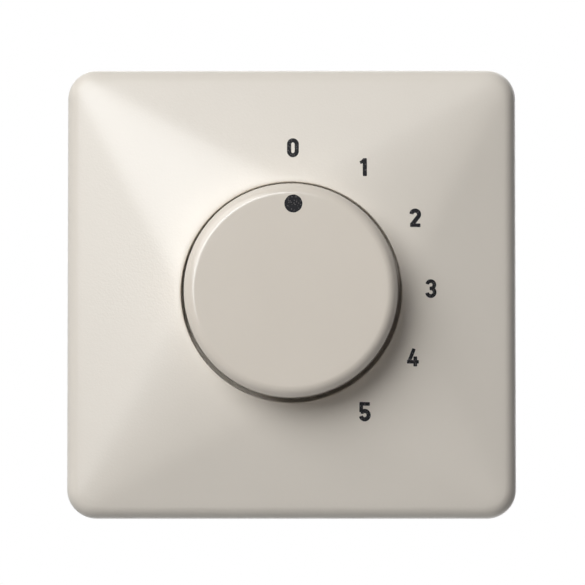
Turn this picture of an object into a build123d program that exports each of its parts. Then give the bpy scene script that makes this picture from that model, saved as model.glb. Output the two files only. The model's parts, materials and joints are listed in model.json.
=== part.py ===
"""Ventilation control switch for a flush wall box, with steps 0 to 5.

A square moulded cover plate with a round well carries a large knob. Behind it a steel frame is
screwed to the wall box and holds a round switch body: a notched wheel under a spring clip gives
the steps, and a rotor drags a sprung contact bar over five contacts.

Units are millimetres. The wall is the plane Y = 0 and the front of the switch looks along -Y.
The origin is on the knob's axis in the plane of the wall. Heights are measured from the wall
towards the room, so what lies inside the wall box has a negative height. Angles are clock
angles: 0 is at the top and they grow clockwise, as the knob turns, seen from the front.
"""

import os
from math import atan2, cos, hypot, pi, radians, sin, sqrt, tan

from build123d import *

os.makedirs("parts", exist_ok=True)

# Cover plate
plate_size = 86.0
plate_corner = 5.6
plate_draft = 1.5
plate_wall = 2.0
rim_height = 6.0
rim_round = 2.6
rim_chords = 3
crown_height = 10.5
well_radius = 21.0
well_floor = 1.6
well_wall = 1.6
lip_width = 0.6
lip_bevel = 0.2
rib_thickness = 1.2
peg_width = 6.0
peg_thickness = 2.0
peg_inset = 6.0
peg_clearance = 0.15

# Knob
knob_side_gap = 0.8
knob_floor_gap = 0.8
knob_stand = 8.0
knob_edge_round = 2.15
knob_edge_angle = 50.0
knob_bevel = 0.45
knob_wall = 1.8
knob_top = 2.0
knob_rib = 1.2
knob_rib_depth = 3.0
knob_ribs = 6
hub_wall = 2.6
hub_start_gap = 0.5

# Spindle, its bearing and the nuts
spindle_radius = 3.0
spindle_flat = 0.8
spindle_end_gap = 0.6
running_gap = 0.05
drive_square = 6.0
tail_radius = 2.5
tail_length = 4.0
clip_leaf = 0.4
clip_width = 4.0
clip_hook = 1.6
thread_radius = 5.0
bush_flange_radius = 9.0
bush_flange = 1.6
nut_flats = 14.0
nut_thickness = 2.0
nut_end_gap = 0.8
nut_cover_gap = 0.3
assembly_gap = 0.1

# Support frame
frame_size = 71.0
frame_corner = 6.0
frame_thickness = 1.2
frame_lip = 1.8
frame_lip_length = 40.0
box_screw_pitch = 60.0
slot_width = 4.4
slot_length = 8.0
bead_width = 3.0
bead_rise = 0.6
bead_length = 22.0
bead_circle = 34.0

# Switch body
body_radius = 24.0
body_wall = 2.5
front_wall = 2.5
skirt_wall = 1.25
skirt_length = 3.0
spigot_wall = 1.7
disc_thickness = 1.0
hook_half_angle = 7.0
hook_thickness = 0.9
hook_clearance = 0.1
hooks = 4

# Step mechanism
step_angle = 30.0
steps = 5
wheel_gap = 0.3
wheel_thickness = 3.0
wheel_radius = 9.2
notch_half_width = 1.5
notch_depth = 1.0
stop_plate = 1.5
stop_plate_radius = 7.5
stop_tab_reach = 4.8
stop_tab_half_angle = 8.0
stop_lug_half_angle = 6.0
stop_lug_gap = 2.8
stop_slack_angle = 0.6
stop_disc_gap = 0.5
spring_strip = 0.5
spring_inset = 0.2
spring_arm_gap = 0.15
spring_arm_reach = 7.5
spring_post_radius = 2.0
spring_post_gap = 2.3

# Contacts
contact_inset = 7.75
contact_size = 4.4
contact_thickness = 0.7
blade_length = 2.4
blade_thickness = 0.8
ring_inner = 6.6
ring_outer = 9.6
chamber_depth = 6.4
base_floor = 9.6
pocket_depth = 6.5
pocket_inset = 2.6
separator = 1.2
tag_thickness = 0.8
tag_gap = 0.4
common_angle = 270.0

# Rotor and contact bar
rotor_gap = 0.3
rotor_radius = 8.6
rotor_arm_width = 7.2
rotor_ceiling = 1.0
rotor_end_wall = 1.2
bar_width = 3.6
bar_thickness = 0.8
bar_gap = 0.2
bar_end = 1.8
nose_half_base = 1.4
nose_half_tip = 0.5
nose_height = 0.95
contact_gap = 0.05
leaf_strip = 0.3
leaf_width = 2.4
leaf_half_span = 3.6

# Heights that follow from the sizes above
floor_under = frame_thickness + nut_thickness + nut_cover_gap
floor_top = floor_under + well_floor
bush_end = floor_top + nut_thickness + nut_end_gap
hub_start = bush_end + hub_start_gap
knob_face = crown_height + knob_stand
knob_ceiling = knob_face - knob_top
skirt_end = floor_top + knob_floor_gap
spindle_end = knob_ceiling - spindle_end_gap
leaf_inner = spindle_flat - spindle_radius - running_gap
flat_start = hub_start - clip_leaf - running_gap
flange_back = -front_wall - bush_flange
shoulder = flange_back - running_gap
wheel_front = flange_back - wheel_gap
wheel_back = wheel_front - wheel_thickness
stop_back = wheel_back - stop_plate
disc_front = stop_back - stop_disc_gap
disc_back = disc_front - disc_thickness
skirt_back = disc_front - skirt_length
hook_level = (disc_back + skirt_back) / 2
base_face = disc_back - chamber_depth
base_back = base_face - base_floor
pocket_floor = base_back + pocket_depth
contact_face = base_face + contact_thickness
nose_tip = contact_face + contact_gap
bar_back = nose_tip + nose_height
bar_front = bar_back + bar_thickness
rotor_front = disc_back - rotor_gap
rotor_back = bar_back + bar_gap
slot_ceiling = rotor_front - rotor_ceiling
square_end = contact_face + contact_thickness
tail_end = square_end - tail_length
tag_face = pocket_floor - tag_thickness

# Radii and angles that follow
draft = radians(plate_draft)
side_lean = rim_height * tan(draft)
lip_radius = well_radius + lip_width
tube_radius = well_radius + well_wall
hub_radius = spindle_radius + hub_wall
knob_radius = well_radius - knob_side_gap
peg_offset = well_radius - peg_inset
chamber_radius = body_radius - body_wall
skirt_radius = body_radius - skirt_wall
spigot_radius = skirt_radius - assembly_gap
floor_radius = spigot_radius - spigot_wall
contact_circle = floor_radius - contact_inset
ring_middle = (ring_inner + ring_outer) / 2
pocket_inner = contact_circle - pocket_inset
pocket_outer = body_radius + body_wall
tag_inner = pocket_inner + tag_gap
tag_outer = body_radius - body_wall / 2
notch_flank = hypot(notch_depth, notch_half_width)
nose_shift = (spring_strip / 2 + running_gap) * notch_flank / notch_half_width
nose_line = wheel_radius - notch_depth + nose_shift
arm_line = wheel_radius + spring_arm_gap + spring_strip / 2
nose_half = (arm_line - nose_line) * notch_half_width / notch_depth
stop_tab_radius = wheel_radius + stop_tab_reach
stop_lug_start = wheel_radius + stop_lug_gap
spring_post_circle = wheel_radius + spring_post_gap + spring_post_radius
wheel_bore = drive_square + 2 * running_gap
bar_start = ring_middle - bar_end
bar_stop = contact_circle + bar_end
bar_middle = (bar_start + bar_stop) / 2
rotor_arm_reach = bar_stop + bar_gap + rotor_end_wall
travel = step_angle * steps
stop_offset = stop_tab_half_angle + stop_slack_angle + stop_lug_half_angle
hook_angles = [360 / hooks * (hook + 0.5) for hook in range(hooks)]
step_angles = [step_angle * step for step in range(1, steps + 1)]
terminal_angles = step_angles + [common_angle]


def height(value):
    """The drawing plane at a height above the wall, looked at from the front."""
    return Plane.XZ.offset(value)


def ray(angle, out, across=0):
    """A point on a drawing plane: so far out along a clock angle, and so far across it."""
    turn = radians(angle)
    return (out * sin(turn) + across * cos(turn), out * cos(turn) - across * sin(turn))


def clock(radius, angle):
    """A place on a drawing plane by radius and clock angle, its local Y pointing outwards."""
    return Location((*ray(angle, radius), 0), (0, 0, -angle))


def wedge(angle, half_angle, inner, outer):
    """The corners of a block with radial sides, centred on a clock angle."""
    slope = tan(radians(half_angle))
    return [
        ray(angle, inner, -inner * slope),
        ray(angle, outer, -outer * slope),
        ray(angle, outer, outer * slope),
        ray(angle, inner, inner * slope),
    ]


def square_to_round(half, corner, low, radius, high):
    """A solid from a rounded square at one height to a circle at another.

    Each side is a flat triangle that ends in a point on the circle, and each corner is a
    skewed cone between the corner's arc and a quarter of the circle.
    """
    inset = half - corner
    low_arcs, high_arcs, cones, sides, low_edges = [], [], [], [], []
    for quarter in range(4):
        start = 90 * quarter
        centre = Vector(inset, inset).rotate(Axis.Z, start)
        low_plane = Plane((centre.X, -low, centre.Y), (1, 0, 0), (0, -1, 0))
        high_plane = Plane((0, -high, 0), (1, 0, 0), (0, -1, 0))
        low_arcs.append(Edge.make_circle(corner, low_plane, start, start + 90))
        high_arcs.append(Edge.make_circle(radius, high_plane, start, start + 90))
        cones.append(Face.make_surface_from_curves(low_arcs[-1], high_arcs[-1]))
    for quarter in range(4):
        side_start = low_arcs[quarter - 1] @ 1
        side_end = low_arcs[quarter] @ 0
        tip = high_arcs[quarter] @ 0
        low_edges += [Edge.make_line(side_start, side_end), low_arcs[quarter]]
        sides.append(Face(Wire.make_polygon([side_start, side_end, tip])))
    ends = [Face(Wire(low_edges)), Face(Wire(high_arcs))]
    return Solid(Shell(cones + sides + ends))


def flat_ceiling(half, corner, low, radius, high):
    """A solid near square_to_round's form with flat faces, from a cut square to an octagon.

    Each side is a triangle that ends in a corner of the octagon, and each corner is three.
    """
    lows, highs = [], []
    for quarter in range(4):
        for x, y in ((half, half - corner), (half - corner, half)):
            point = Vector(x, y).rotate(Axis.Z, 90 * quarter)
            lows.append(Vector(point.X, -low, point.Y))
        for turn in (90 * quarter, 90 * quarter + 45):
            point = Vector(radius, 0).rotate(Axis.Z, turn)
            highs.append(Vector(point.X, -high, point.Y))
    faces = [Face(Wire.make_polygon(lows)), Face(Wire.make_polygon(highs))]
    for index in range(8):
        faces.append(Face(Wire.make_polygon([lows[index - 1], lows[index], highs[index]])))
        faces.append(Face(Wire.make_polygon([highs[index - 1], highs[index], lows[index - 1]])))
    return Solid(Shell(faces))


# The cover plate's hollow: open to the wall, with a sloping ceiling, round the well's tube
cavity_half = plate_size / 2 - plate_wall
cavity_corner = plate_corner - plate_wall
cavity_shoulder = rim_height - plate_wall
with BuildPart() as cavity:
    with BuildSketch(height(0)):
        outline = Rectangle(2 * cavity_half, 2 * cavity_half)
        chamfer(outline.vertices(), cavity_corner)
    extrude(amount=cavity_shoulder)
    cavity_top = crown_height - plate_wall
    add(flat_ceiling(cavity_half, cavity_corner, cavity_shoulder, well_radius, cavity_top))
    with BuildSketch(height(floor_under)):
        Circle(tube_radius)
    extrude(amount=crown_height, mode=Mode.SUBTRACT)
    with BuildSketch(height(floor_under)):
        with PolarLocations(plate_size / 2, 4, start_angle=45):
            Rectangle(plate_size, rib_thickness)
        with GridLocations(plate_size / 2, 0, 2, 1):
            Rectangle(rib_thickness, plate_size)
        with GridLocations(0, plate_size / 2, 1, 2):
            Rectangle(plate_size, rib_thickness)
    extrude(amount=crown_height, mode=Mode.SUBTRACT)

# Its rounded edge in section, as chords: how far each lies outside the sharp edge, and how high
sharp_half = plate_size / 2 - side_lean
slope_angle = atan2(crown_height - rim_height, sharp_half - lip_radius)
tangent_length = rim_round * tan((pi / 2 - slope_angle - draft) / 2)
round_out = -tangent_length * cos(slope_angle) - rim_round * sin(slope_angle)
round_height = rim_height + tangent_length * sin(slope_angle) - rim_round * cos(slope_angle)
edge_rings = [(side_lean, 0)]
for chord in range(rim_chords + 1):
    tilt = pi / 2 - draft + (slope_angle + draft - pi / 2) * chord / rim_chords
    edge_rings.append((round_out + rim_round * sin(tilt), round_height + rim_round * cos(tilt)))

# Cover plate: one moulded shell, sloping from its rounded edge up to the lip of the well
with BuildPart() as cover_plate:
    for below, above in zip(edge_rings, edge_rings[1:]):
        for outset, level in (below, above):
            with BuildSketch(height(level)):
                ring_size = 2 * (sharp_half + outset)
                RectangleRounded(ring_size, ring_size, plate_corner - side_lean + outset)
        loft(ruled=True)
    slope_out, slope_start = edge_rings[-1]
    slope_half = sharp_half + slope_out
    slope_corner = plate_corner - side_lean + slope_out
    add(square_to_round(slope_half, slope_corner, slope_start, lip_radius, crown_height))
    add(cavity.part, mode=Mode.SUBTRACT)
    with BuildSketch(height(floor_top)):
        Circle(well_radius)
    extrude(amount=crown_height, mode=Mode.SUBTRACT)
    lip = cover_plate.edges().filter_by(GeomType.CIRCLE).group_by(Axis.Y)[0]
    chamfer(lip.sort_by(Edge.radius)[:1], lip_bevel)
    with BuildSketch(height(0)):
        Circle(thread_radius + peg_clearance)
    extrude(amount=crown_height, mode=Mode.SUBTRACT)
    with BuildSketch(height(peg_clearance)):
        with GridLocations(2 * peg_offset, 0, 2, 1):
            Rectangle(peg_thickness, peg_width)
    extrude(amount=floor_under + well_floor / 2)

cover_plate.part.label = "cover_plate"
export_step(cover_plate.part, "parts/cover_plate.step")

# Knob: a hollow moulded cap with a rounded edge, a hub and ribs inside
edge_turn = radians(knob_edge_angle)
arc_drop = knob_edge_round * (1 - cos(edge_turn))
bevel_drop = knob_bevel * tan(edge_turn)
arc_radius = knob_radius - knob_bevel
face_radius = arc_radius - knob_edge_round * sin(edge_turn)
with BuildPart() as knob:
    with BuildSketch(Plane.XY):
        with BuildLine():
            top_start = (0, -knob_face)
            face_end = (face_radius, -knob_face)
            arc_end = (arc_radius, arc_drop - knob_face)
            Line(top_start, face_end)
            TangentArc(face_end, arc_end, tangent=(1, 0))
            Polyline(
                arc_end,
                (knob_radius, arc_drop + bevel_drop - knob_face),
                (knob_radius, -skirt_end),
                (knob_radius - knob_wall, -skirt_end),
                (knob_radius - knob_wall, -knob_ceiling),
                (0, -knob_ceiling),
                top_start,
            )
        make_face()
    revolve(axis=Axis.Y)
    with BuildSketch(height(hub_start)):
        Circle(hub_radius)
    extrude(amount=knob_ceiling - hub_start)
    with BuildSketch(height(knob_ceiling - knob_rib_depth)):
        rib_length = knob_radius - knob_wall / 2
        with PolarLocations(rib_length / 2, knob_ribs, start_angle=90):
            Rectangle(rib_length, knob_rib)
    extrude(amount=knob_rib_depth)
    with BuildSketch(height(hub_start)):
        Circle(spindle_radius + running_gap)
        with Locations((0, leaf_inner)):
            Rectangle(
                2 * hub_radius, hub_radius, align=(Align.CENTER, Align.MAX), mode=Mode.SUBTRACT
            )
        with Locations((0, leaf_inner - clip_leaf - running_gap)):
            Rectangle(
                clip_width + 2 * running_gap, spindle_radius, align=(Align.CENTER, Align.MIN)
            )
    extrude(amount=knob_ceiling - hub_start, mode=Mode.SUBTRACT)

knob.part.label = "knob"
export_step(knob.part, "parts/knob.step")

# Knob clip: a bent spring leaf between the hub and the spindle's flat, hooked over the hub's end
with BuildPart() as knob_clip:
    with BuildSketch(Plane.YZ):
        with BuildLine():
            leaf_middle = leaf_inner - clip_leaf / 2
            clip_foot = hub_start - clip_leaf / 2
            FilletPolyline(
                (-spindle_end + assembly_gap, leaf_middle),
                (-clip_foot, leaf_middle),
                (-clip_foot, leaf_middle - clip_hook),
                radius=clip_leaf / 2 + running_gap,
            )
        trace(line_width=clip_leaf)
    extrude(amount=clip_width / 2, both=True)

knob_clip.part.label = "knob_clip"
export_step(knob_clip.part, "parts/knob_clip.step")

# Spindle: a D-shaped front for the knob, a round journal, a square drive and a rear tail
with BuildPart() as spindle:
    with BuildSketch(height(shoulder)):
        Circle(spindle_radius)
    extrude(amount=spindle_end - shoulder)
    with BuildSketch(height(flat_start)):
        with Locations((0, spindle_flat - spindle_radius)):
            Rectangle(2 * spindle_radius, spindle_radius, align=(Align.CENTER, Align.MAX))
    extrude(amount=spindle_end, mode=Mode.SUBTRACT)
    with BuildSketch(height(square_end)):
        Rectangle(drive_square, drive_square)
    extrude(amount=shoulder - square_end)
    with BuildSketch(height(tail_end)):
        Circle(tail_radius)
    extrude(amount=tail_length)

spindle.part.label = "spindle"
export_step(spindle.part, "parts/spindle.step")

# Bearing bush: a threaded tube whose flange sits inside the switch body's front wall
with BuildPart() as bearing_bush:
    with BuildSketch(height(flange_back)):
        Circle(bush_flange_radius)
    extrude(amount=bush_flange)
    with BuildSketch(height(flange_back)):
        Circle(thread_radius)
    extrude(amount=bush_end - flange_back)
    with BuildSketch(height(flange_back)):
        Circle(spindle_radius + running_gap)
    extrude(amount=bush_end - flange_back, mode=Mode.SUBTRACT)

bearing_bush.part.label = "bearing_bush"
export_step(bearing_bush.part, "parts/bearing_bush.step")

# Two thin hexagon nuts on the bush: one clamps the frame to the body, one the cover to the frame
for nut_name, nut_base in (("frame_nut", frame_thickness), ("cover_nut", floor_top)):
    with BuildPart() as thin_nut:
        with BuildSketch(height(nut_base)):
            RegularPolygon(nut_flats / 2, 6, major_radius=False)
            Circle(thread_radius + running_gap, mode=Mode.SUBTRACT)
        extrude(amount=nut_thickness)
    thin_nut.part.label = nut_name
    export_step(thin_nut.part, f"parts/{nut_name}.step")

# Support frame: a stamped steel plate with turned-up lips, pressed beads and slots for screws
with BuildPart() as support_frame:
    with BuildSketch(height(0)):
        RectangleRounded(frame_size, frame_size, frame_corner)
    extrude(amount=frame_thickness)
    with BuildSketch(height(frame_thickness)):
        with GridLocations(frame_size - frame_thickness, 0, 2, 1):
            Rectangle(frame_thickness, frame_lip_length)
        with GridLocations(0, frame_size - frame_thickness, 1, 2):
            Rectangle(frame_lip_length, frame_thickness)
    extrude(amount=frame_lip)
    with BuildSketch(height(frame_thickness)):
        with PolarLocations(bead_circle, 4, start_angle=45):
            Rectangle(bead_width, bead_length)
    extrude(amount=bead_rise)
    with BuildSketch(height(0)):
        with GridLocations(box_screw_pitch, 0, 2, 1):
            SlotOverall(slot_length, slot_width)
        with GridLocations(0, box_screw_pitch, 1, 2):
            SlotOverall(slot_length, slot_width, rotation=90)
        with GridLocations(2 * peg_offset, 0, 2, 1):
            Rectangle(peg_thickness + 2 * peg_clearance, peg_width + 2 * peg_clearance)
        Circle(thread_radius + peg_clearance)
    extrude(amount=frame_thickness + frame_lip, mode=Mode.SUBTRACT)

support_frame.part.label = "support_frame"
export_step(support_frame.part, "parts/support_frame.step")

# Front housing: the moulded cup behind the frame that holds the step mechanism
with BuildPart() as front_housing:
    with BuildSketch(height(skirt_back)):
        Circle(body_radius)
    extrude(amount=-skirt_back)
    with BuildSketch(height(skirt_back)):
        Circle(skirt_radius)
    extrude(amount=skirt_length, mode=Mode.SUBTRACT)
    with BuildSketch(height(disc_front)):
        Circle(chamber_radius)
    extrude(amount=-front_wall - disc_front, mode=Mode.SUBTRACT)
    with BuildSketch(height(disc_front)):
        for angle in (-travel / 2 - stop_offset, travel / 2 + stop_offset):
            lug = wedge(angle, stop_lug_half_angle, stop_lug_start, skirt_radius)
            Polygon(*lug, align=None)
    extrude(amount=-disc_front)
    with BuildSketch(height(stop_back)):
        with Locations(clock(spring_post_circle, 180)):
            Circle(spring_post_radius)
    extrude(amount=-front_wall - stop_back)
    with BuildSketch(height(-front_wall)):
        Circle(thread_radius + assembly_gap)
    extrude(amount=front_wall, mode=Mode.SUBTRACT)
    with BuildSketch(height(hook_level - hook_thickness / 2 - hook_clearance)):
        for angle in hook_angles:
            window_half_angle = hook_half_angle + stop_slack_angle
            Polygon(*wedge(angle, window_half_angle, chamber_radius, pocket_outer), align=None)
    extrude(amount=hook_thickness + 2 * hook_clearance, mode=Mode.SUBTRACT)

front_housing.part.label = "front_housing"
export_step(front_housing.part, "parts/front_housing.step")

# Step wheel: a notched star on the spindle's square, with the stop tab on its back
with BuildPart() as step_wheel:
    with BuildSketch(height(wheel_back)):
        Circle(wheel_radius)
        with PolarLocations(wheel_radius, round(360 / step_angle)):
            Polygon(
                (-notch_depth, 0),
                (notch_depth, 2 * notch_half_width),
                (notch_depth, -2 * notch_half_width),
                align=None,
                mode=Mode.SUBTRACT,
            )
    extrude(amount=wheel_thickness)
    with BuildSketch(height(stop_back)):
        Circle(stop_plate_radius)
        tab = wedge(-travel / 2, stop_tab_half_angle, drive_square / 2, stop_tab_radius)
        Polygon(*tab, align=None)
    extrude(amount=stop_plate)
    with BuildSketch(height(stop_back)):
        Rectangle(wheel_bore, wheel_bore)
    extrude(amount=stop_plate + wheel_thickness, mode=Mode.SUBTRACT)

step_wheel.part.label = "step_wheel"
export_step(step_wheel.part, "parts/step_wheel.step")

# Step spring: a hairpin of spring strip round a post, its two noses resting in opposite notches
with BuildPart() as step_spring:
    with BuildSketch(height(wheel_back + spring_inset)):
        with BuildLine():
            bend_radius = spring_post_radius + running_gap + spring_strip / 2
            bend = CenterArc((0, -spring_post_circle), bend_radius, 180, 180)
            for side, foot in ((-1, bend @ 0), (1, bend @ 1)):
                Polyline(
                    (foot.X, foot.Y),
                    (side * arm_line, -spring_arm_reach),
                    (side * arm_line, -nose_half),
                    (side * nose_line, 0),
                    (side * arm_line, nose_half),
                    (side * arm_line, spring_arm_reach),
                )
        trace(line_width=spring_strip)
    extrude(amount=wheel_thickness - 2 * spring_inset)

step_spring.part.label = "step_spring"
export_step(step_spring.part, "parts/step_spring.step")

# Insulating disc: closes the step mechanism off from the contacts
with BuildPart() as insulating_disc:
    with BuildSketch(height(disc_back)):
        Circle(spigot_radius)
        Circle(drive_square / sqrt(2) + rotor_gap, mode=Mode.SUBTRACT)
    extrude(amount=disc_thickness)

insulating_disc.part.label = "insulating_disc"
export_step(insulating_disc.part, "parts/insulating_disc.step")

# Rotor: the moulded arm on the spindle's square that holds the contact bar and its spring
with BuildPart() as rotor:
    with BuildSketch(height(rotor_back)):
        Circle(rotor_radius)
        with Locations(clock(rotor_arm_reach / 2, 0)):
            Rectangle(rotor_arm_width, rotor_arm_reach)
    extrude(amount=rotor_front - rotor_back)
    with BuildSketch(height(rotor_back)):
        with Locations((0, bar_middle)):
            Rectangle(bar_width + 2 * bar_gap, bar_stop - bar_start + 2 * bar_gap)
    extrude(amount=slot_ceiling - rotor_back, mode=Mode.SUBTRACT)
    with BuildSketch(height(rotor_back)):
        Rectangle(wheel_bore, wheel_bore)
    extrude(amount=rotor_front - rotor_back, mode=Mode.SUBTRACT)

rotor.part.label = "rotor"
export_step(rotor.part, "parts/rotor.step")

# Contact bar: a copper strip with a pressed nose at each end
with BuildPart() as contact_bar:
    with BuildSketch(Plane.YZ):
        with BuildLine():
            Polyline(
                (-bar_front, bar_start),
                (-bar_back, bar_start),
                (-bar_back, ring_middle - nose_half_base),
                (-nose_tip, ring_middle - nose_half_tip),
                (-nose_tip, ring_middle + nose_half_tip),
                (-bar_back, ring_middle + nose_half_base),
                (-bar_back, contact_circle - nose_half_base),
                (-nose_tip, contact_circle - nose_half_tip),
                (-nose_tip, contact_circle + nose_half_tip),
                (-bar_back, contact_circle + nose_half_base),
                (-bar_back, bar_stop),
                (-bar_front, bar_stop),
                close=True,
            )
        make_face()
    extrude(amount=bar_width / 2, both=True)

contact_bar.part.label = "contact_bar"
export_step(contact_bar.part, "parts/contact_bar.step")

# Bar spring: a bowed leaf between the rotor and the contact bar
with BuildPart() as bar_spring:
    with BuildSketch(Plane.YZ):
        with BuildLine():
            leaf_foot = -bar_front - leaf_strip / 4
            leaf_top = -slot_ceiling + leaf_strip / 2
            ThreePointArc(
                (leaf_foot, bar_middle - leaf_half_span),
                (leaf_top, bar_middle),
                (leaf_foot, bar_middle + leaf_half_span),
            )
        trace(line_width=leaf_strip)
    extrude(amount=leaf_width / 2, both=True)

bar_spring.part.label = "bar_spring"
export_step(bar_spring.part, "parts/bar_spring.step")

# Contact base: the rear moulding, with the contact floor inside and six wiring pockets behind
with BuildPart() as contact_base:
    with BuildSketch(height(base_back)):
        Circle(body_radius)
    extrude(amount=skirt_back - base_back)
    with BuildSketch(height(skirt_back)):
        Circle(spigot_radius)
    extrude(amount=disc_back - skirt_back)
    with BuildSketch(height(base_face)):
        Circle(floor_radius)
    extrude(amount=chamber_depth, mode=Mode.SUBTRACT)
    with BuildSketch(height(base_face)):
        with Locations(clock(contact_circle, 0)):
            Rectangle(contact_size, contact_size)
    extrude(amount=contact_thickness)
    with BuildSketch(height(hook_level - hook_thickness / 2)):
        for angle in hook_angles:
            hook_start = floor_radius + spigot_wall / 2
            hook_end = skirt_radius + skirt_wall / 2
            Polygon(*wedge(angle, hook_half_angle, hook_start, hook_end), align=None)
    extrude(amount=hook_thickness)
    with BuildSketch(height(base_back)):
        for angle in terminal_angles:
            Polygon(*wedge(angle, step_angle / 2, pocket_inner, pocket_outer), align=None)
        for angle in terminal_angles:
            for wall_angle in (angle - step_angle / 2, angle + step_angle / 2):
                with Locations(clock(pocket_outer / 2, wall_angle)):
                    Rectangle(separator, pocket_outer, mode=Mode.SUBTRACT)
    extrude(amount=pocket_depth, mode=Mode.SUBTRACT)
    with BuildSketch(height(pocket_floor)):
        for angle in terminal_angles:
            with Locations(clock(contact_circle, angle)):
                Rectangle(blade_length + 2 * running_gap, blade_thickness + 2 * running_gap)
    extrude(amount=base_floor - pocket_depth, mode=Mode.SUBTRACT)
    with BuildSketch(height(tail_end - assembly_gap)):
        Circle(tail_radius + running_gap)
    extrude(amount=base_face - tail_end + assembly_gap, mode=Mode.SUBTRACT)

contact_base.part.label = "contact_base"
export_step(contact_base.part, "parts/contact_base.step")


def wiring_tag(angle):
    """A tapered tag on a pocket's floor, and the blade that joins it to its contact in front."""
    slope = tan(radians(step_angle / 2))
    tag_middle = (tag_inner + tag_outer) / 2
    inner_half = tag_inner * slope - separator / 2 - tag_gap
    outer_half = tag_middle * slope - separator / 2 - tag_gap
    with BuildPart() as tag:
        with BuildSketch(height(tag_face)):
            Polygon(
                ray(angle, tag_inner, -inner_half),
                ray(angle, tag_middle, -outer_half),
                ray(angle, tag_outer, -outer_half),
                ray(angle, tag_outer, outer_half),
                ray(angle, tag_middle, outer_half),
                ray(angle, tag_inner, inner_half),
                align=None,
            )
        extrude(amount=tag_thickness)
        with BuildSketch(height(tag_face)):
            with Locations(clock(contact_circle, angle)):
                Rectangle(blade_length, blade_thickness)
        extrude(amount=base_face - tag_face)
    return tag.part


# Step contacts: a square pad in front, a blade through the base and a wiring tag behind
for step, angle in enumerate(step_angles, start=1):
    with BuildPart() as step_contact:
        add(wiring_tag(angle))
        with BuildSketch(height(base_face)):
            with Locations(clock(contact_circle, angle)):
                Rectangle(contact_size, contact_size)
        extrude(amount=contact_thickness)
    step_contact.part.label = f"step_contact_{step}"
    export_step(step_contact.part, f"parts/step_contact_{step}.step")

# Common contact: a ring round the spindle, with an arm out to the sixth wiring tag
with BuildPart() as common_contact:
    add(wiring_tag(common_angle))
    with BuildSketch(height(base_face)):
        Circle(ring_outer)
        with Locations(clock(contact_circle / 2, common_angle)):
            Rectangle(contact_size, contact_circle + contact_size)
        Circle(ring_inner, mode=Mode.SUBTRACT)
    extrude(amount=contact_thickness)

common_contact.part.label = "common_contact"
export_step(common_contact.part, "parts/common_contact.step")
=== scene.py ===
"""Looks of the ventilation control switch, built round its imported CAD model.

The file follows the switch from the room to the wall box: cover plate, printed figures, knob and
its mark, then the steel frame, the switch body and its wiring. Sizes are in millimetres on the
knob's axis: x to the right, z up, and the height from the wall towards the room. The meshes are
in metres in the CAD frame, where the room is at negative Y.
"""

import json
from math import atan2, cos, pi, radians, sin, tan

import bmesh
import bpy
import numpy as np
from mathutils import Matrix, Vector


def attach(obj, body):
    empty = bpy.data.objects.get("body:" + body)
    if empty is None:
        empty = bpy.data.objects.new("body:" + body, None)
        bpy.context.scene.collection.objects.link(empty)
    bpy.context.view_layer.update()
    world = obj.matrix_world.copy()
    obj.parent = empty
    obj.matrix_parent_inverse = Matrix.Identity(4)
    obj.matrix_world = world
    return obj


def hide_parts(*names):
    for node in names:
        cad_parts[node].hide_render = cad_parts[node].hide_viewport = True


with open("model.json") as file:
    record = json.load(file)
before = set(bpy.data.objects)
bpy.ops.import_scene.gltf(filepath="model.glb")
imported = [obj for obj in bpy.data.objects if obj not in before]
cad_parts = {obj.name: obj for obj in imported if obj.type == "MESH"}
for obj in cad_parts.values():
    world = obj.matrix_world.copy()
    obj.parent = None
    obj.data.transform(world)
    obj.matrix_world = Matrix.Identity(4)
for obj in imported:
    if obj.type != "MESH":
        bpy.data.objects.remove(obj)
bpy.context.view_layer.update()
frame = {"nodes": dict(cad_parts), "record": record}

# Camera: almost square to the plate and far away, a little below it and to the right, as in
# the photograph, where the knob stands a little up and left of its well's centre.
camera_distance = 0.9
camera_rise = radians(-3.1)
camera_turn = radians(0.6)
camera_aim = Vector((0.00014, 0.0, 0.00048))
camera_data = bpy.data.cameras.new("camera")
camera_data.sensor_width = 36.0
camera_data.lens = 288.0
camera_data.clip_end = 20.0
camera = bpy.data.objects.new("camera", camera_data)
bpy.context.scene.collection.objects.link(camera)
view_from = Vector(
    (sin(camera_turn) * cos(camera_rise), -cos(camera_turn) * cos(camera_rise), sin(camera_rise))
)
camera.location = camera_aim + camera_distance * view_from
camera.rotation_euler = (-view_from).to_track_quat("-Z", "Y").to_euler()
bpy.context.scene.camera = camera

# Light: one large soft lamp, high on the left and in front, with a strip that only shows in
# gloss. Weaker lamps reach the gap round the knob, the plate's edge from the side and from
# below, and the back. The world is dim, and looks white to the camera and in gloss.
lamp_climb = radians(45.3)
lamp_lean, sheen_lean = radians(42.5), radians(18)
lamp_distance, low_distance = 1.2, 0.55
lamp_colour, sheen_colour, fill_colour = (1.0, 0.997, 0.99), (0.95, 0.98, 1.0), (1.0, 0.87, 0.8)
world_light = 0.015


def soft_lamp(name, way, distance, size, energy, colour=(1, 1, 1), glossy=True):
    """A disc lamp of a diameter in metres and a power in watts, aimed at the origin.

    It stands at the distance along way, the direction from the origin.
    """
    data = bpy.data.lights.new(name, "AREA")
    data.shape, data.size, data.energy, data.color = "DISK", size, energy, colour
    lamp = bpy.data.objects.new(name, data)
    bpy.context.scene.collection.objects.link(lamp)
    lamp.visible_glossy = glossy
    lamp.location = distance * Vector(way).normalized()
    lamp.rotation_euler = (-lamp.location).to_track_quat("-Z", "Y").to_euler()
    return lamp


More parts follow.
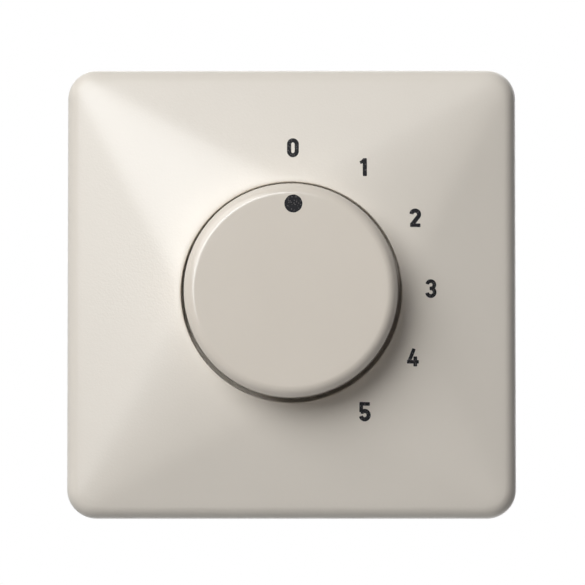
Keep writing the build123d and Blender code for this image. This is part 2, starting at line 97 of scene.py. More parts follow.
def leaning_lamp(name, off_axis, along, across, energy):
    """An oval lamp that leans from the knob's axis by an angle, up and to the left.

    Its first size lies the way it leans, and the second across that.
    """
    way = Vector((
        -sin(off_axis) * cos(lamp_climb), -cos(off_axis), sin(off_axis) * sin(lamp_climb)
    ))
    lamp = soft_lamp(name, way, lamp_distance, along, energy, lamp_colour)
    lamp.data.shape, lamp.data.size_y = "ELLIPSE", across
    lean = Vector((0.0, -1.0, 0.0)).cross(way).cross(way).normalized()
    lamp.rotation_euler = Matrix((lean, way.cross(lean), way)).transposed().to_euler()
    return lamp


leaning_lamp("lamp", lamp_lean, 1.05, 0.9, 15.0)
sheen_lamp = leaning_lamp("sheen_lamp", sheen_lean, 0.3, 0.74, 7.8)
sheen_lamp.data.color = sheen_colour
sheen_lamp.visible_diffuse = False
soft_lamp("fill_lamp", (0.09, -1.0, -0.11), lamp_distance, 0.4, 0.65, fill_colour, False)
soft_lamp("side_lamp", (-0.75, -0.1, 0.65), lamp_distance, 0.5, 0.7, glossy=False)
low_lamp = soft_lamp("low_lamp", (0.1, 0.12, -1.0), low_distance, 0.4, 0.6, glossy=False)
low_lamp.visible_camera = False
soft_lamp("rear_lamp", (0.35, 0.85, 0.4), lamp_distance, 1.6, 6.5)


def background_rays(tree):
    """A socket that is 1 for camera, glossy and transmission rays, and 0 for all others."""
    path = tree.nodes.new("ShaderNodeLightPath")
    socket = path.outputs["Is Camera Ray"]
    for name in ("Is Glossy Ray", "Is Transmission Ray"):
        either = tree.nodes.new("ShaderNodeMath")
        either.operation = "MAXIMUM"
        tree.links.new(socket, either.inputs[0])
        tree.links.new(path.outputs[name], either.inputs[1])
        socket = either.outputs[0]
    return socket


world = bpy.data.worlds.new("world")
bpy.context.scene.world = world
world.use_nodes = True
nodes, links = world.node_tree.nodes, world.node_tree.links
strength = nodes.new("ShaderNodeMapRange")
strength.inputs["To Min"].default_value = world_light
strength.inputs["To Max"].default_value = 1.0
links.new(background_rays(world.node_tree), strength.inputs["Value"])
nodes["Background"].inputs["Color"].default_value = (1, 1, 1, 1)
links.new(strength.outputs[0], nodes["Background"].inputs["Strength"])
bpy.context.scene.view_settings.view_transform = "Standard"

# Floor: a plain floor well below the switch, out of the photograph's view, that takes the
# shadow in views from above. The camera and gloss see it pale, fading to white far off, and
# it throws back little light.
floor_level = -0.6
floor_half = 4.0
floor_mesh = bpy.data.meshes.new("floor")
floor_mesh.from_pydata(
    [
        (x * floor_half, y * floor_half, floor_level)
        for x, y in ((-1, -1), (1, -1), (1, 1), (-1, 1))
    ],
    [], [(0, 1, 2, 3)],
)
floor = bpy.data.objects.new("floor", floor_mesh)
bpy.context.scene.collection.objects.link(floor)
floor_paint = bpy.data.materials.new("floor_paint")
floor_paint.use_nodes = True
nodes, links = floor_paint.node_tree.nodes, floor_paint.node_tree.links
nodes["Principled BSDF"].inputs["Roughness"].default_value = 0.9
nodes["Principled BSDF"].inputs["Specular IOR Level"].default_value = 0.0
floor_tone = nodes.new("ShaderNodeMix")
floor_tone.data_type = "RGBA"
floor_tone.inputs["A"].default_value = (0.1, 0.1, 0.1, 1)
floor_tone.inputs["B"].default_value = (0.95, 0.95, 0.95, 1)
floor_seen = background_rays(floor_paint.node_tree)
links.new(floor_seen, floor_tone.inputs["Factor"])
floor_way = nodes.new("ShaderNodeVectorMath")
floor_way.operation = "LENGTH"
links.new(nodes.new("ShaderNodeTexCoord").outputs["Object"], floor_way.inputs[0])
floor_fade = nodes.new("ShaderNodeMapRange")
floor_fade.interpolation_type = "SMOOTHSTEP"
floor_fade.inputs["From Min"].default_value = 0.7
floor_fade.inputs["From Max"].default_value = 3.2
floor_fade.inputs["To Min"].default_value = 0.7
floor_fade.inputs["To Max"].default_value = 1.0
links.new(floor_way.outputs["Value"], floor_fade.inputs["Value"])
floor_glow = nodes.new("ShaderNodeMath")
floor_glow.operation = "MULTIPLY"
links.new(floor_seen, floor_glow.inputs[0])
links.new(floor_fade.outputs[0], floor_glow.inputs[1])
nodes["Principled BSDF"].inputs["Emission Color"].default_value = (1, 1, 1, 1)
links.new(floor_glow.outputs[0], nodes["Principled BSDF"].inputs["Emission Strength"])
links.new(floor_tone.outputs["Result"], nodes["Principled BSDF"].inputs["Base Color"])
floor_mesh.materials.append(floor_paint)

# Cover plate: one moulding in warm white plastic. From its rounded edge it slopes up to the
# lip of the well, with a flat triangle on each side and a skewed cone at each corner. It is
# open behind, with stiffening ribs, and a thin brass nut clamps it by the well's floor.
plate_half = 43.0
plate_corner = 5.6
plate_draft = radians(1.5)
plate_wall = 2.0
rim_height = 6.0
rim_round = 2.9
crown_height = 10.5
well_radius = 21.0
lip_radius = 21.6
lip_round = 0.2
lip_band = 0.6
tube_radius = 22.6
well_fillet = 0.5
floor_top = 5.1
floor_under = 3.5
hole_radius = 5.15
hollow_corner = 3.6
hollow_low = 4.0
hollow_high = 8.5
edge_ease = 0.15
foot_ease = 0.12
side_steps = ((0.5, 0.3), (0.95, 0.03), (1.0, 0.0))
slope_rows, edge_rows, ceiling_rows, lip_rows = 26, 11, 9, 7


def skin(name, rings, wrap=False):
    """A closed mesh from rings of points, an array of rows by columns by (x, z, height) in mm.

    Each row is a closed ring, and quads join it to the next row. With wrap the last row joins
    the first, and without it the first and last rings are closed with a flat face each. The
    signed volume, a sum of tetrahedra on the origin, tells if the faces must be turned.
    """
    rings = np.asarray(rings, float)
    rows, columns = rings.shape[:2]
    points = rings.reshape(-1, 3)[:, [0, 2, 1]] * (0.001, -0.001, 0.001)
    row = np.arange(rows if wrap else rows - 1)[:, None]
    column = np.arange(columns)[None, :]
    after, beside = (row + 1) % rows, (column + 1) % columns
    quads = np.stack([
        row * columns + column, row * columns + beside,
        after * columns + beside, after * columns + column,
    ], axis=-1).reshape(-1, 4)
    corners = points[quads]
    volume = np.einsum("ij,ij->", corners[:, 0], np.cross(corners[:, 1], corners[:, 2]))
    volume += np.einsum("ij,ij->", corners[:, 0], np.cross(corners[:, 2], corners[:, 3]))
    faces = quads.tolist()
    if not wrap:
        first, last = np.arange(columns)[::-1], np.arange(columns) + (rows - 1) * columns
        faces += [first.tolist(), last.tolist()]
        for cap in (first, last):
            fan = points[cap]
            volume += np.einsum(
                "j,ij->", fan[0], np.cross(fan[1:-1], fan[2:])
            )
    if volume < 0:
        faces = [face[::-1] for face in faces]
    mesh = bpy.data.meshes.new(name)
    mesh.from_pydata(points.tolist(), [], faces)
    mesh.validate()
    piece = bpy.data.objects.new(name, mesh)
    bpy.context.scene.collection.objects.link(piece)
    return piece


def soften(piece, angle=35.0):
    """Shades a piece smooth, with its edges sharp where the faces turn by more than the angle."""
    piece.data.shade_smooth()
    piece.data.set_sharp_from_angle(angle=radians(angle))
    return piece


def outline(half, corner, side_count=28, corner_count=14):
    """Points round a rounded square, counter-clockwise from the middle of its right side.

    Each quarter is half a side, a corner's arc and half a side. The same counts give points
    that match from one square to the next.
    """
    inset = half - corner
    rise = np.linspace(0, 1, side_count // 2, endpoint=False)
    turn = np.linspace(0, pi / 2, corner_count)
    fall = np.linspace(1, 0, side_count // 2 + 1)[1:-1]
    quarter = np.concatenate([
        np.stack([np.full_like(rise, half), rise * inset], 1),
        np.stack([inset + corner * np.cos(turn), inset + corner * np.sin(turn)], 1),
        np.stack([fall * inset, np.full_like(fall, half)], 1),
    ])
    turns = [quarter]
    for _ in range(3):
        turns.append(np.stack([-turns[-1][:, 1], turns[-1][:, 0]], 1))
    return np.concatenate(turns)


def slope_height(x, z, half, corner, low, radius, high):
    """Height of the square-to-round surface over a point.

    The surface is a stack of rounded squares that shrink in step from the low outline to the
    circle: at share s the corner centres lie s * (half - corner) out, and the corner radius is
    radius + s * (corner - radius). In a corner's sector s solves the quadratic in which the
    point lies on that arc, and elsewhere s is the share of the way out to the straight side.
    """
    inset, widening = half - corner, corner - radius
    px, pz = np.abs(x), np.abs(z)
    a = 2 * inset**2 - widening**2
    b = (px + pz) * inset + radius * widening
    k = px**2 + pz**2 - radius**2
    share = (b - np.sqrt(np.maximum(b * b - a * k, 0))) / a
    angle = np.arctan2(pz - share * inset, px - share * inset)
    share = np.where(angle < 0, (px - radius) / (half - radius), share)
    share = np.where(angle > pi / 2, (pz - radius) / (half - radius), share)
    return high + share * (low - high)


side_lean = rim_height * tan(plate_draft)
sharp_half = plate_half - side_lean
slope_angle = atan2(crown_height - rim_height, sharp_half - lip_radius)
tangent_length = rim_round * tan((pi / 2 - slope_angle - plate_draft) / 2)
round_out = -tangent_length * cos(slope_angle) - rim_round * sin(slope_angle)
round_level = rim_height + tangent_length * sin(slope_angle) - rim_round * cos(slope_angle)
rim_out = round_out + rim_round * sin(slope_angle)
rim_level = round_level + rim_round * cos(slope_angle)
slope = dict(
    half=sharp_half + rim_out, corner=plate_corner - side_lean + rim_out, low=rim_level,
    radius=lip_radius, high=crown_height,
)
hollow = dict(
    half=plate_half - plate_wall, corner=hollow_corner, low=hollow_low, radius=well_radius,
    high=hollow_high,
)


def plate_rings():
    """The plate's skin as rings that wrap round its wall, from the lip outwards and back.

    Out from the lip a ring is a blend of the circle and the rounded square, its height given by
    the slope; round the edge it is a rounded square that grows and sinks on an arc, and then by
    the draft down the side, whose steps are shares of the lean and of the height. Behind, the
    same forms come back in, and the well's tube, floor and wall close the loop.
    """
    square = outline(slope["half"], slope["corner"])
    turn = np.arctan2(square[:, 1], square[:, 0])
    circle = np.stack([np.cos(turn), np.sin(turn)], 1)

    def level(flat, height):
        return np.column_stack([flat, np.broadcast_to(height, len(flat))])

    rings = []
    for share in np.linspace(0, 1, slope_rows)[1:]:
        flat = circle * lip_radius * (1 - share) + square * share
        rings.append(level(flat, slope_height(*flat.T, **slope)))
    for tilt in np.linspace(slope_angle, pi / 2 - plate_draft, edge_rows)[1:]:
        out, up = round_out + rim_round * sin(tilt), round_level + rim_round * cos(tilt)
        flat = outline(sharp_half + out, plate_corner - side_lean + out)
        rings.append(level(flat, up))
    for share, height_share in side_steps:
        out = side_lean * share - (foot_ease if share == 1.0 else 0)
        flat = outline(sharp_half + out, plate_corner - side_lean + out)
        rings.append(level(flat, rim_height * height_share))
    inner = outline(hollow["half"], hollow["corner"])
    rings.append(level(inner, 0.0))
    rings.append(level(inner, edge_ease))
    rings.append(level(inner, hollow["low"]))
    for share in np.linspace(0, 1, ceiling_rows)[1:]:
        flat = inner * (1 - share) + circle * tube_radius * share
        rings.append(level(flat, slope_height(*flat.T, **hollow)))
    inside = [
        (tube_radius, floor_under + edge_ease), (tube_radius - edge_ease, floor_under),
        (hole_radius + edge_ease, floor_under), (hole_radius, floor_under + edge_ease),
        (hole_radius, floor_top - edge_ease), (hole_radius + edge_ease, floor_top),
        (well_radius - well_fillet, floor_top), (well_radius - edge_ease, floor_top + 0.1),
        (well_radius, floor_top + well_fillet), (well_radius, crown_height - lip_round - lip_band),
    ]
    for tilt in np.linspace(0, pi / 2, lip_rows):
        inside.append((
            well_radius + lip_round * (1 - cos(tilt)), crown_height - lip_round * (1 - sin(tilt))
        ))
    for radius, height in inside:
        rings.append(level(circle * radius, height))
    rings.append(level(circle * lip_radius, crown_height))
    return np.array(rings)


moulded_cover = soften(skin("moulded_cover", plate_rings(), wrap=True), 40)


def surface_group():
    """Group fine_surface: slow and fine noise on Object coordinates, for tone, gloss and bump.

    Tone is a cloudy mask round one half, Specks a sparse mask of small dots, and Height the
    sum of a coarse waviness and a fine grain.
    """
    group = bpy.data.node_groups.new("fine_surface", "ShaderNodeTree")
    for name, value in (
        ("Cloud Scale", 60.0), ("Grain Scale", 2500.0), ("Speck Scale", 900.0), ("Speck Size", 0.1)
    ):
        socket = group.interface.new_socket(name, in_out="INPUT", socket_type="NodeSocketFloat")
        socket.default_value = value
    for name in ("Tone", "Specks", "Height"):
        group.interface.new_socket(name, in_out="OUTPUT", socket_type="NodeSocketFloat")
    nodes, links = group.nodes, group.links
    inputs, outputs = nodes.new("NodeGroupInput"), nodes.new("NodeGroupOutput")
    place = nodes.new("ShaderNodeTexCoord").outputs["Object"]

    def noise(scale, detail):
        node = nodes.new("ShaderNodeTexNoise")
        node.inputs["Detail"].default_value = detail
        links.new(place, node.inputs["Vector"])
        links.new(inputs.outputs[scale], node.inputs["Scale"])
        return node.outputs["Fac"]

    cloud, grain = noise("Cloud Scale", 3.0), noise("Grain Scale", 2.0)
    spots = nodes.new("ShaderNodeTexVoronoi")
    links.new(place, spots.inputs["Vector"])
    links.new(inputs.outputs["Speck Scale"], spots.inputs["Scale"])
    speck = nodes.new("ShaderNodeMapRange")
    speck.inputs["From Max"].default_value = 0.04
    links.new(inputs.outputs["Speck Size"], speck.inputs["From Min"])
    links.new(spots.outputs["Distance"], speck.inputs["Value"])
    total = nodes.new("ShaderNodeMath")
    total.operation = "ADD"
    links.new(cloud, total.inputs[0])
    links.new(grain, total.inputs[1])
    links.new(cloud, outputs.inputs["Tone"])
    links.new(speck.outputs[0], outputs.inputs["Specks"])
    links.new(total.outputs[0], outputs.inputs["Height"])
    return group


fine_surface = surface_group()


def finish(
    name, colour, spread, roughness, metallic=0.0, bump=0.1, specks=None, scales=None, gloss=0.5
):
    """A material for one finish: its colour and a tone beside it, mixed by the cloudy mask.

    Roughness follows the same mask between its two values, the height gives a bump, and the
    specks, if a colour is given for them, are laid over the base colour.
    """
    material = bpy.data.materials.new(name)
    material.use_nodes = True
    nodes, links = material.node_tree.nodes, material.node_tree.links
    shader = nodes["Principled BSDF"]
    shader.inputs["Metallic"].default_value = metallic
    shader.inputs["Specular IOR Level"].default_value = gloss
    surface = nodes.new("ShaderNodeGroup")
    surface.node_tree = fine_surface
    for socket, value in (scales or {}).items():
        surface.inputs[socket].default_value = value
    tone = nodes.new("ShaderNodeMix")
    tone.data_type = "RGBA"
    colour = np.array(colour)
    tone.inputs["A"].default_value = (*colour * (1 - spread), 1)
    tone.inputs["B"].default_value = (*np.minimum(colour * (1 + spread), 1), 1)
    links.new(surface.outputs["Tone"], tone.inputs["Factor"])
    paint = tone.outputs["Result"]
    if specks is not None:
        dots = nodes.new("ShaderNodeMix")
        dots.data_type = "RGBA"
        dots.inputs["B"].default_value = (*specks, 1)
        links.new(surface.outputs["Specks"], dots.inputs["Factor"])
        links.new(paint, dots.inputs["A"])
        paint = dots.outputs["Result"]
    links.new(paint, shader.inputs["Base Color"])
    dullness = nodes.new("ShaderNodeMapRange")
    dullness.inputs["To Min"].default_value, dullness.inputs["To Max"].default_value = roughness
    links.new(surface.outputs["Tone"], dullness.inputs["Value"])
    links.new(dullness.outputs[0], shader.inputs["Roughness"])
    relief = nodes.new("ShaderNodeBump")
    relief.inputs["Strength"].default_value = bump
    relief.inputs["Distance"].default_value = 0.00005
    links.new(surface.outputs["Height"], relief.inputs["Height"])
    links.new(relief.outputs[0], shader.inputs["Normal"])
    return material


cover_plastic = finish(
    "cover_plastic", (0.762, 0.718, 0.65), 0.02, (0.27, 0.33), bump=0.35, gloss=0.36,
)
moulded_cover.data.materials.append(cover_plastic)


bar_cut = 0.2


def bars(name, ends_from, ends_to, thickness, bottom, top, steps=12):
    """Straight strips standing on edge, joined in one mesh: each runs from one end to the other.

    A cross-section is a narrow rectangle whose lower corners are cut, carried along the line,
    with its bottom and top heights given as functions of the place.
    """
    pieces = []
    for start, end in zip(np.array(ends_from, float), np.array(ends_to, float)):
        along = np.linspace(0, 1, steps)[:, None]
        line = start + along * (end - start)
        across = np.array([start[1] - end[1], end[0] - start[0]])
        across *= thickness / 2 / np.hypot(*across)
        low, high = bottom(*line.T), top(*line.T)
        section = [
            (1, high), (1, low + bar_cut), (1 - bar_cut, low), (bar_cut - 1, low),
            (-1, low + bar_cut), (-1, high),
        ]
        pieces.append(np.stack(
            [np.column_stack([line + side * across, level]) for side, level in section], axis=1
        ))
    joined = [skin(f"{name}_{number}", rings) for number, rings in enumerate(pieces)]
    return join(name, joined)


def join(name, pieces):
    """Several meshes as one piece, their vertices and faces laid end to end."""
    points, faces = [], []
    for piece in pieces:
        first = len(points)
        points += [tuple(vertex.co) for vertex in piece.data.vertices]
        faces += [[first + index for index in face.vertices] for face in piece.data.polygons]
        bpy.data.objects.remove(piece)
    mesh = bpy.data.meshes.new(name)
    mesh.from_pydata(points, [], faces)
    whole = bpy.data.objects.new(name, mesh)
    bpy.context.scene.collection.objects.link(whole)
    return whole


rib_row, rib_far, rib_near = 21.5, 41.3, 7.6
corner_rib_near, corner_rib_far = 16.2, 40.4
rib_thickness = 1.2
rib_gap, rib_sunk = 0.05, 0.6
peg_place, peg_reach, peg_thickness = 15.1, 3.0, 2.0
peg_foot, peg_sunk = 0.2, 0.5
rib_starts, rib_stops = [], []
for side in (-1, 1):
    for way in (-1, 1):
        rib_starts += [(side * rib_row, way * rib_near), (way * rib_near, side * rib_row)]
        rib_stops += [(side * rib_row, way * rib_far), (way * rib_far, side * rib_row)]
        rib_starts.append((side * corner_rib_near, way * corner_rib_near))
        rib_stops.append((side * corner_rib_far, way * corner_rib_far))
cover_ribs = soften(bars(
    "cover_ribs", rib_starts, rib_stops, rib_thickness,
    lambda x, z: np.full_like(x, floor_under + rib_gap),
    lambda x, z: slope_height(x, z, **hollow) + rib_sunk,
))
cover_pegs = soften(bars(
    "cover_pegs", [(-peg_place, -peg_reach), (peg_place, -peg_reach)],
    [(-peg_place, peg_reach), (peg_place, peg_reach)], peg_thickness,
    lambda x, z: np.full_like(x, peg_foot),
    lambda x, z: np.full_like(x, floor_under + peg_sunk), steps=3,
))
for piece in (cover_ribs, cover_pegs):
    piece.data.materials.append(cover_plastic)
for piece in (moulded_cover, cover_ribs, cover_pegs):
    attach(piece, "base")
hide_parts("cover_plate")

# Figures 0 to 5: printed in matt black ink on the slope round the well, a step of 30 degrees
# apart, all upright. Each stands a little off its place on the circle, as in the photograph.
figure_places = [
    (0.31, 27.62), (13.72, 23.86), (23.6, 14.16), (26.57, 0.71), (23.12, -12.43), (13.96, -22.72)
]
figure_stretch = (1.05, 1.02, 1.0, 1.03, 1.0, 1.07)
stroke = 0.8
ink_lift = 0.02
ink_sink = 0.02
ink_layer = 0.005
end_ease = 0.1
end_narrowing = 0.78
longest_reach = 1.5


def arc(centre, radius, start, stop, count=18):
    """Points on an arc round a centre, between two angles in degrees."""
    turn = np.radians(np.linspace(start, stop, count))
    return np.column_stack([centre[0] + radius * np.cos(turn), centre[1] + radius * np.sin(turn)])


# For each figure its strokes: a stroke's middle line, whether that closes, and its width.
figure_strokes = [
    [(np.vstack([arc((0, 0.65), 0.725, 0, 180), arc((0, -0.65), 0.725, 180, 360)]), True, stroke)],
    [([(0.3, -1.7), (0.3, 0), (0.3, 1.7)], False, 0.78),
     ([(-0.62, 0.86), (-0.2, 1.02), (0.12, 1.42)], False, 0.6)],
    [(np.vstack([arc((0, 0.68), 0.72, 176, -38), [(-0.55, -1.2), (-0.72, -1.42)]]), False, stroke),
     ([(-0.98, -1.4), (0, -1.4), (0.98, -1.4)], False, 0.68)],
    [(np.vstack([arc((-0.02, 0.7), 0.68, 172, -75), [(-0.25, 0.02)]]), False, 0.7),
     (np.vstack([[(-0.25, 0.02)], arc((-0.02, -0.68), 0.72, 78, -172)]), False, 0.72)],
    [([(0.22, 1.68), (-0.28, 0.35), (-0.86, -0.98)], False, 0.68),
     ([(-1.13, -0.82), (0, -0.82), (1.13, -0.82)], False, 0.68),
     ([(0.45, 0.2), (0.45, -0.8), (0.45, -1.7)], False, 0.72)],
    [([(-1.0, 1.37), (0, 1.37), (0.98, 1.37)], False, 0.68),
     ([(-0.66, 1.71), (-0.67, 0.6), (-0.68, -0.1)], False, 0.7),
     (np.vstack([[(-0.72, 0.0)], arc((0, -0.62), 0.74, 128, -168)]), False, stroke)],
]


def ribbon(name, points, closed, width, place, lift):
    """A thin slab along a stroke's middle line, lying on the slope.

    At each point the slab reaches half its width to both sides along the bisector of the two
    runs, lengthened by one over the cosine of half the turn, up to a limit. Its top follows the
    slope's height plus the lift, and its underside is sunk a little below it. An open stroke's
    ends are narrowed, so their corners are cut.
    """
    points = np.array(points, float)
    ahead, behind = np.roll(points, -1, 0) - points, points - np.roll(points, 1, 0)
    if not closed:
        ahead[-1], behind[0] = behind[-1], ahead[0]
    ahead /= np.linalg.norm(ahead, axis=1)[:, None]
    behind /= np.linalg.norm(behind, axis=1)[:, None]
    normal = np.column_stack([-(ahead + behind)[:, 1], (ahead + behind)[:, 0]])
    length = np.linalg.norm(normal, axis=1)
    longer = np.minimum(2 / length, longest_reach)[:, None]
    reach = width / 2 * longer * normal / length[:, None]
    if not closed:
        first, last = points[:1].copy(), points[-1:].copy()
        points[0] += end_ease * ahead[0]
        points[-1] -= end_ease * ahead[-1]
        points = np.vstack([first, points, last])
        reach = np.vstack([reach[:1] * end_narrowing, reach, reach[-1:] * end_narrowing])
    sides = []
    for side, sunk in ((1, True), (1, False), (-1, False), (-1, True)):
        flat = points + side * reach + np.array(place)
        height = slope_height(*flat.T, **slope) + (-ink_sink if sunk else lift)
        sides.append(np.column_stack([flat, height]))
    return skin(name, np.stack(sides, axis=1), wrap=closed)


figures = []
for figure, strokes in enumerate(figure_strokes):
    tall = np.array((1.0, figure_stretch[figure]))
    drawn = [
        ribbon(
            f"stroke_{figure}_{number}", np.array(points) * tall, closed, width,
            figure_places[figure], ink_lift + ink_layer * number,
        )
        for number, (points, closed, width) in enumerate(strokes)
    ]
    figures.append(join(f"figure_{figure}", drawn))
printed_ink = finish(
    "printed_ink", (0.007, 0.007, 0.009), 0.6, (0.5, 0.65), bump=0.3, specks=(0.16, 0.15, 0.15),
    scales={"Speck Scale": 2400.0, "Speck Size": 0.36, "Cloud Scale": 900.0}, gloss=0.12,
)
for piece in figures:
    piece.data.materials.append(printed_ink)
    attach(piece, "base")

# Knob: a hollow cap moulded in the same warm white plastic, with a flat face, a rounded edge
# that ends in a crisp line and a plain skirt that goes down into the well. A hub and six ribs
# inside hold it on the spindle.
knob_face = 18.48
knob_rim_radius = 20.2
knob_base_radius = 20.2
knob_edge_round = 2.15
knob_edge_angle = radians(50)
knob_bevel = 0.45
knob_wall = 1.8
knob_ceiling = 16.5
skirt_end = 5.9
hub_radius = 5.6
hub_start = 8.4
bore_radius = 3.05
bore_flat = 2.25
skirt_middle = 12.0
skirt_ease = 0.2
ceiling_ease = 0.6
hub_fillet = 0.5
knob_rim_points = ((0.07, 0.085), (0.015, 0.02), (0.0, -0.05))
knob_rib_count = 6
knob_rib_start, knob_rib_stop = 5.3, 19.0
knob_rib_level = 13.5
knob_rib_sunk = 0.5


def lathe(name, profile, columns=192, shape=None):
    """A profile of radii and heights turned round the knob's axis, its ends closed.

    shape, if given, is a function of the row and the angle that scales the ring's radius, for
    a bore that isn't round.
    """
    turn = np.linspace(0, 2 * pi, columns, endpoint=False)
    profile = np.array(profile, float)
    radius = np.repeat(profile[:, :1], columns, 1)
    if shape is not None:
        radius = shape(radius, turn[None, :])
    height = np.repeat(profile[:, 1:], columns, 1)
    return skin(name, np.stack([radius * np.cos(turn), radius * np.sin(turn), height], axis=-1))


def d_bore(radius, turn):
    """Rings no wider than the bore are cut off at the flat, which lies below the axis."""
    below = np.maximum(-np.sin(turn), 1e-6)
    return np.where(radius <= bore_radius, np.minimum(radius, bore_flat / below), radius)


edge_drop = knob_edge_round * (1 - cos(knob_edge_angle)) + knob_bevel * tan(knob_edge_angle)
face_radius = knob_rim_radius - knob_edge_round * sin(knob_edge_angle) - knob_bevel
knob_profile = [
    (radius, knob_face) for radius in (2.0, face_radius * 0.7, face_radius - 0.5)
]
for tilt in np.linspace(0, knob_edge_angle, 13):
    knob_profile.append((
        face_radius + knob_edge_round * sin(tilt), knob_face - knob_edge_round * (1 - cos(tilt))
    ))
for inward, up in knob_rim_points:
    knob_profile.append((knob_rim_radius - inward, knob_face - edge_drop + up))
knob_profile += [
    (knob_rim_radius, skirt_middle),
    (knob_base_radius - 0.02, skirt_end + 0.25), (knob_base_radius - skirt_ease, skirt_end),
    (knob_base_radius - knob_wall + skirt_ease, skirt_end),
    (knob_base_radius - knob_wall, skirt_end + skirt_ease),
    (knob_rim_radius - knob_wall, knob_ceiling - ceiling_ease),
    (knob_rim_radius - knob_wall - ceiling_ease, knob_ceiling),
    (hub_radius + hub_fillet, knob_ceiling), (hub_radius, knob_ceiling - hub_fillet),
    (hub_radius, hub_start + skirt_ease), (hub_radius - skirt_ease, hub_start),
    (bore_radius + skirt_ease, hub_start), (bore_radius, hub_start + skirt_ease),
    (bore_radius, knob_ceiling),
]
turning_knob = soften(lathe("turning_knob", knob_profile, shape=d_bore), 25)
rib_turn = np.radians(np.arange(knob_rib_count) * 360 / knob_rib_count + 90)
rib_way = np.column_stack([np.cos(rib_turn), np.sin(rib_turn)])
knob_ribs = soften(bars(
    "knob_ribs", rib_way * knob_rib_start, rib_way * knob_rib_stop, rib_thickness,
    lambda x, z: np.full_like(x, knob_rib_level),
    lambda x, z: np.full_like(x, knob_ceiling + knob_rib_sunk), steps=3,
))
knob_plastic = finish(
    "knob_plastic", (0.75, 0.694, 0.616), 0.02, (0.16, 0.2), bump=0.2, gloss=0.36,
)
for piece in (turning_knob, knob_ribs):
    piece.data.materials.append(knob_plastic)
    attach(piece, "knob")
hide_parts("knob")

# Mark on the knob: a round spot of the same black ink near its edge, which points at the
# figures. Its edge is a little uneven: each of its waves has a share of the radius, a count
# round the spot and a starting angle.
mark_radius = 1.7
mark_circle = 16.3
mark_turn = radians(1.75)
mark_lift = 0.015
mark_waves = ((0.006, 9, 1.0), (0.005, 23, 0.0))
turn = np.linspace(0, 2 * pi, 96, endpoint=False)
uneven = mark_radius * (
    1 + sum(share * np.sin(count * turn + start) for share, count, start in mark_waves)
)
mark_flat = np.column_stack([
    mark_circle * sin(mark_turn) + uneven * np.cos(turn),
    mark_circle * cos(mark_turn) + uneven * np.sin(turn),
])
knob_mark = skin("knob_mark", [
    np.column_stack([mark_flat, np.full(len(turn), knob_face - ink_sink)]),
    np.column_stack([mark_flat, np.full(len(turn), knob_face + mark_lift)]),
])
knob_mark.data.materials.append(printed_ink)
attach(knob_mark, "knob")

# Steel, brass and moulded parts behind the plate: each keeps its CAD form and takes its own
# finish. The frame is zinc plated, the two halves of the body are black and dark brown.
hidden_finishes = {
    "body_plastic": finish("body_plastic", (0.018, 0.018, 0.019), 0.25, (0.35, 0.5), bump=0.3),
    "base_plastic": finish("base_plastic", (0.045, 0.026, 0.016), 0.25, (0.3, 0.45), bump=0.3),
    "wheel_plastic": finish("wheel_plastic", (0.68, 0.66, 0.58), 0.05, (0.4, 0.5), bump=0.2),
    "disc_board": finish("disc_board", (0.2, 0.085, 0.03), 0.3, (0.5, 0.65), bump=0.5),
    "zinc_steel": finish(
        "zinc_steel", (0.62, 0.63, 0.63), 0.1, (0.25, 0.42), metallic=1.0, bump=0.15
    ),
    "spring_steel": finish(
        "spring_steel", (0.42, 0.42, 0.43), 0.1, (0.25, 0.35), metallic=1.0, bump=0.1
    ),
    "brass": finish("brass", (0.72, 0.53, 0.24), 0.08, (0.22, 0.38), metallic=1.0, bump=0.1),
    "copper": finish("copper", (0.78, 0.42, 0.26), 0.08, (0.25, 0.4), metallic=1.0, bump=0.1),
}


merge_distance = 2e-6
flat_angle, sharp_angle = radians(0.5), radians(35)
body_ease, contact_ease = 0.12, 0.06


def eased(node, name, width):
    """A copy of a CAD node with its edges eased by a small bevel of a width in millimetres.

    The copy's vertices are merged and its flat faces joined first, and only the edges where the
    faces turn by more than the sharp angle are bevelled. Faces of five sides and more stay flat.
    """
    shape = bmesh.new()
    shape.from_mesh(node.data)
    bmesh.ops.remove_doubles(shape, verts=shape.verts, dist=merge_distance)
    bmesh.ops.dissolve_limit(
        shape, angle_limit=flat_angle, verts=shape.verts, edges=shape.edges
    )
    sharp = [
        edge for edge in shape.edges
        if len(edge.link_faces) == 2 and edge.calc_face_angle() > sharp_angle
    ]
    bmesh.ops.bevel(
        shape, geom=sharp, offset=width / 1000, segments=2, profile=0.5, affect="EDGES",
        clamp_overlap=True,
    )
    mesh = bpy.data.meshes.new(name)
    shape.to_mesh(mesh)
    shape.free()
    piece = bpy.data.objects.new(name, mesh)
    bpy.context.scene.collection.objects.link(piece)
    soften(piece, 20)
    for face in mesh.polygons:
        face.use_smooth = len(face.vertices) <= 4
    return piece


contacts = ["common_contact"] + [f"step_contact_{step}" for step in range(1, 6)]
eased_nodes = dict.fromkeys(("support_frame", "front_housing", "contact_base"), body_ease)
eased_nodes.update(dict.fromkeys(contacts, contact_ease))
for subpart in frame["record"]["subparts"]:
    name, material_slot = subpart["node"], subpart["material_slot"]
    node = frame["nodes"][name]
    if material_slot in hidden_finishes:
        node.data.materials.clear()
        node.data.materials.append(hidden_finishes[material_slot])
    if name in eased_nodes:
        piece = eased(node, f"eased_{name}", eased_nodes[name])
        piece.data.materials.clear()
        piece.data.materials.append(hidden_finishes[material_slot])
        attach(piece, "base")
        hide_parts(name)

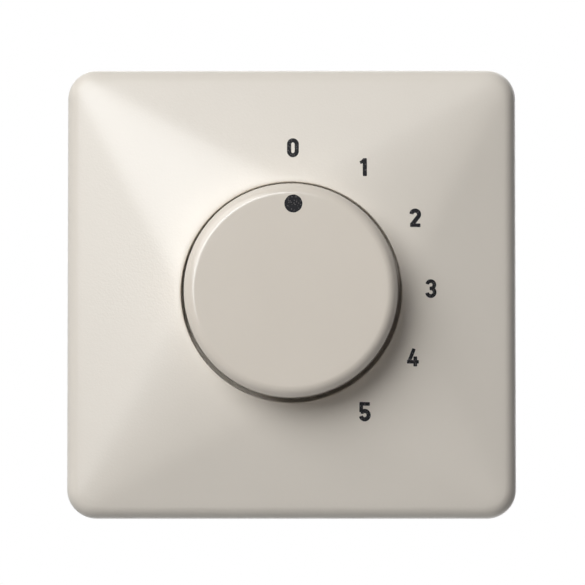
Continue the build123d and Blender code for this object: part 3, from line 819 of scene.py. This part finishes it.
# Wiring screws and their clamps: in each of the six pockets a zinc plated square clamp lies on
# the brass tag under the domed head of a slotted screw, which is threaded into the tag.
tag_level = -20.7
clamp_circle = 18.4
clamp_half = 2.6
clamp_thickness = 0.8
clamp_corner = 0.5
clamp_ease, clamp_gap = 0.12, 0.02
clamp_bend, clamp_lift = 0.7, 0.35
head_radius = 2.25
head_rim = 1.0
head_dome = 0.5
head_points = 25
rim_inset, rim_drop = 0.12, 0.15
foot_inset, foot_depth = 0.1, 0.05
slot_width = 0.7
slot_depth = 0.8
slot_margin = 0.06
dome_steps, dome_narrowing = (0.7, 0.35, 0.05), 0.35
disc_points = 48
pocket_angles = np.radians((30, 60, 90, 120, 150, 270))
slot_tilts = np.radians((12, -35, 64, 8, -50, 28))


def on_tag(rings, angle):
    """Rings given across, outwards and up, set at a clock angle, their height up from the tag."""
    rings = np.asarray(rings, float)
    across, out = rings[..., 0], rings[..., 1] + clamp_circle
    return np.stack([
        out * sin(angle) + across * cos(angle), out * cos(angle) - across * sin(angle),
        tag_level - rings[..., 2],
    ], axis=-1)


def clamp_rings():
    """The clamp: a rounded square with eased edges, turned up along two of its sides.

    The lift grows evenly from nothing at the bend, a share of the way out, to the side.
    """
    rings = []
    for inset, height in (
        (clamp_ease, clamp_gap), (0, clamp_gap + clamp_ease), (0, clamp_thickness - clamp_ease),
        (clamp_ease, clamp_thickness),
    ):
        flat = outline(clamp_half - inset, clamp_corner, 6, 5)
        past_bend = np.maximum(np.abs(flat[:, 0]) / clamp_half - clamp_bend, 0)
        rings.append(np.column_stack([flat, height + clamp_lift * past_bend / (1 - clamp_bend)]))
    return rings


def head_half(side):
    """Half of the head beside the slot, on one side of it, under a shallow dome.

    The dome falls with the square of the distance from the screw's axis.
    """
    gap = slot_width / 2
    rings = []
    for inset, level in (
        (0.0, head_rim - slot_depth), (0.0, head_rim - rim_drop), (rim_inset, head_rim)
    ):
        radius = head_radius - inset
        reach = np.arccos(np.clip((gap + inset / 2) / radius, -1, 1))
        turn = np.linspace(-reach, reach, head_points)
        arc_part = np.column_stack([radius * np.cos(turn), radius * np.sin(turn)])
        rings.append(np.column_stack([arc_part, np.full(head_points, level)]))
    beside_slot = gap + slot_margin
    for shrink in dome_steps:
        flat = rings[2][:, :2].copy()
        flat[:, 0] = beside_slot + (flat[:, 0] - beside_slot) * shrink
        flat[:, 1] *= 1 - (1 - shrink) * dome_narrowing
        fall = (flat[:, 0] ** 2 + flat[:, 1] ** 2) / head_radius**2
        rings.append(np.column_stack([flat, head_rim + head_dome * np.maximum(1 - fall, 0)]))
    rings = np.array(rings)
    rings[..., 2] += clamp_thickness
    rings[..., :2] *= side
    return rings


for number, (angle, tilt) in enumerate(zip(pocket_angles, slot_tilts)):
    turned = np.array([[cos(tilt), sin(tilt)], [-sin(tilt), cos(tilt)]])
    disc_turn = np.linspace(0, 2 * pi, disc_points, endpoint=False)
    disc = [
        np.column_stack([
            radius * np.cos(disc_turn), radius * np.sin(disc_turn), np.full(disc_points, level)
        ])
        for radius, level in (
            (head_radius - foot_inset, clamp_thickness - foot_depth),
            (head_radius, clamp_thickness + foot_depth),
            (head_radius, clamp_thickness + head_rim - slot_depth),
        )
    ]
    halves = [skin("disc", on_tag(disc, angle))]
    for side in (1, -1):
        half = head_half(side)
        half[..., :2] = half[..., :2] @ turned
        halves.append(skin("half", on_tag(half, angle)))
    screw = soften(join(f"wiring_screw_{number + 1}", halves), 40)
    clamp = soften(skin(f"wire_clamp_{number + 1}", on_tag(clamp_rings(), angle)), 40)
    for piece in (screw, clamp):
        piece.data.materials.append(hidden_finishes["zinc_steel"])
        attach(piece, "base")
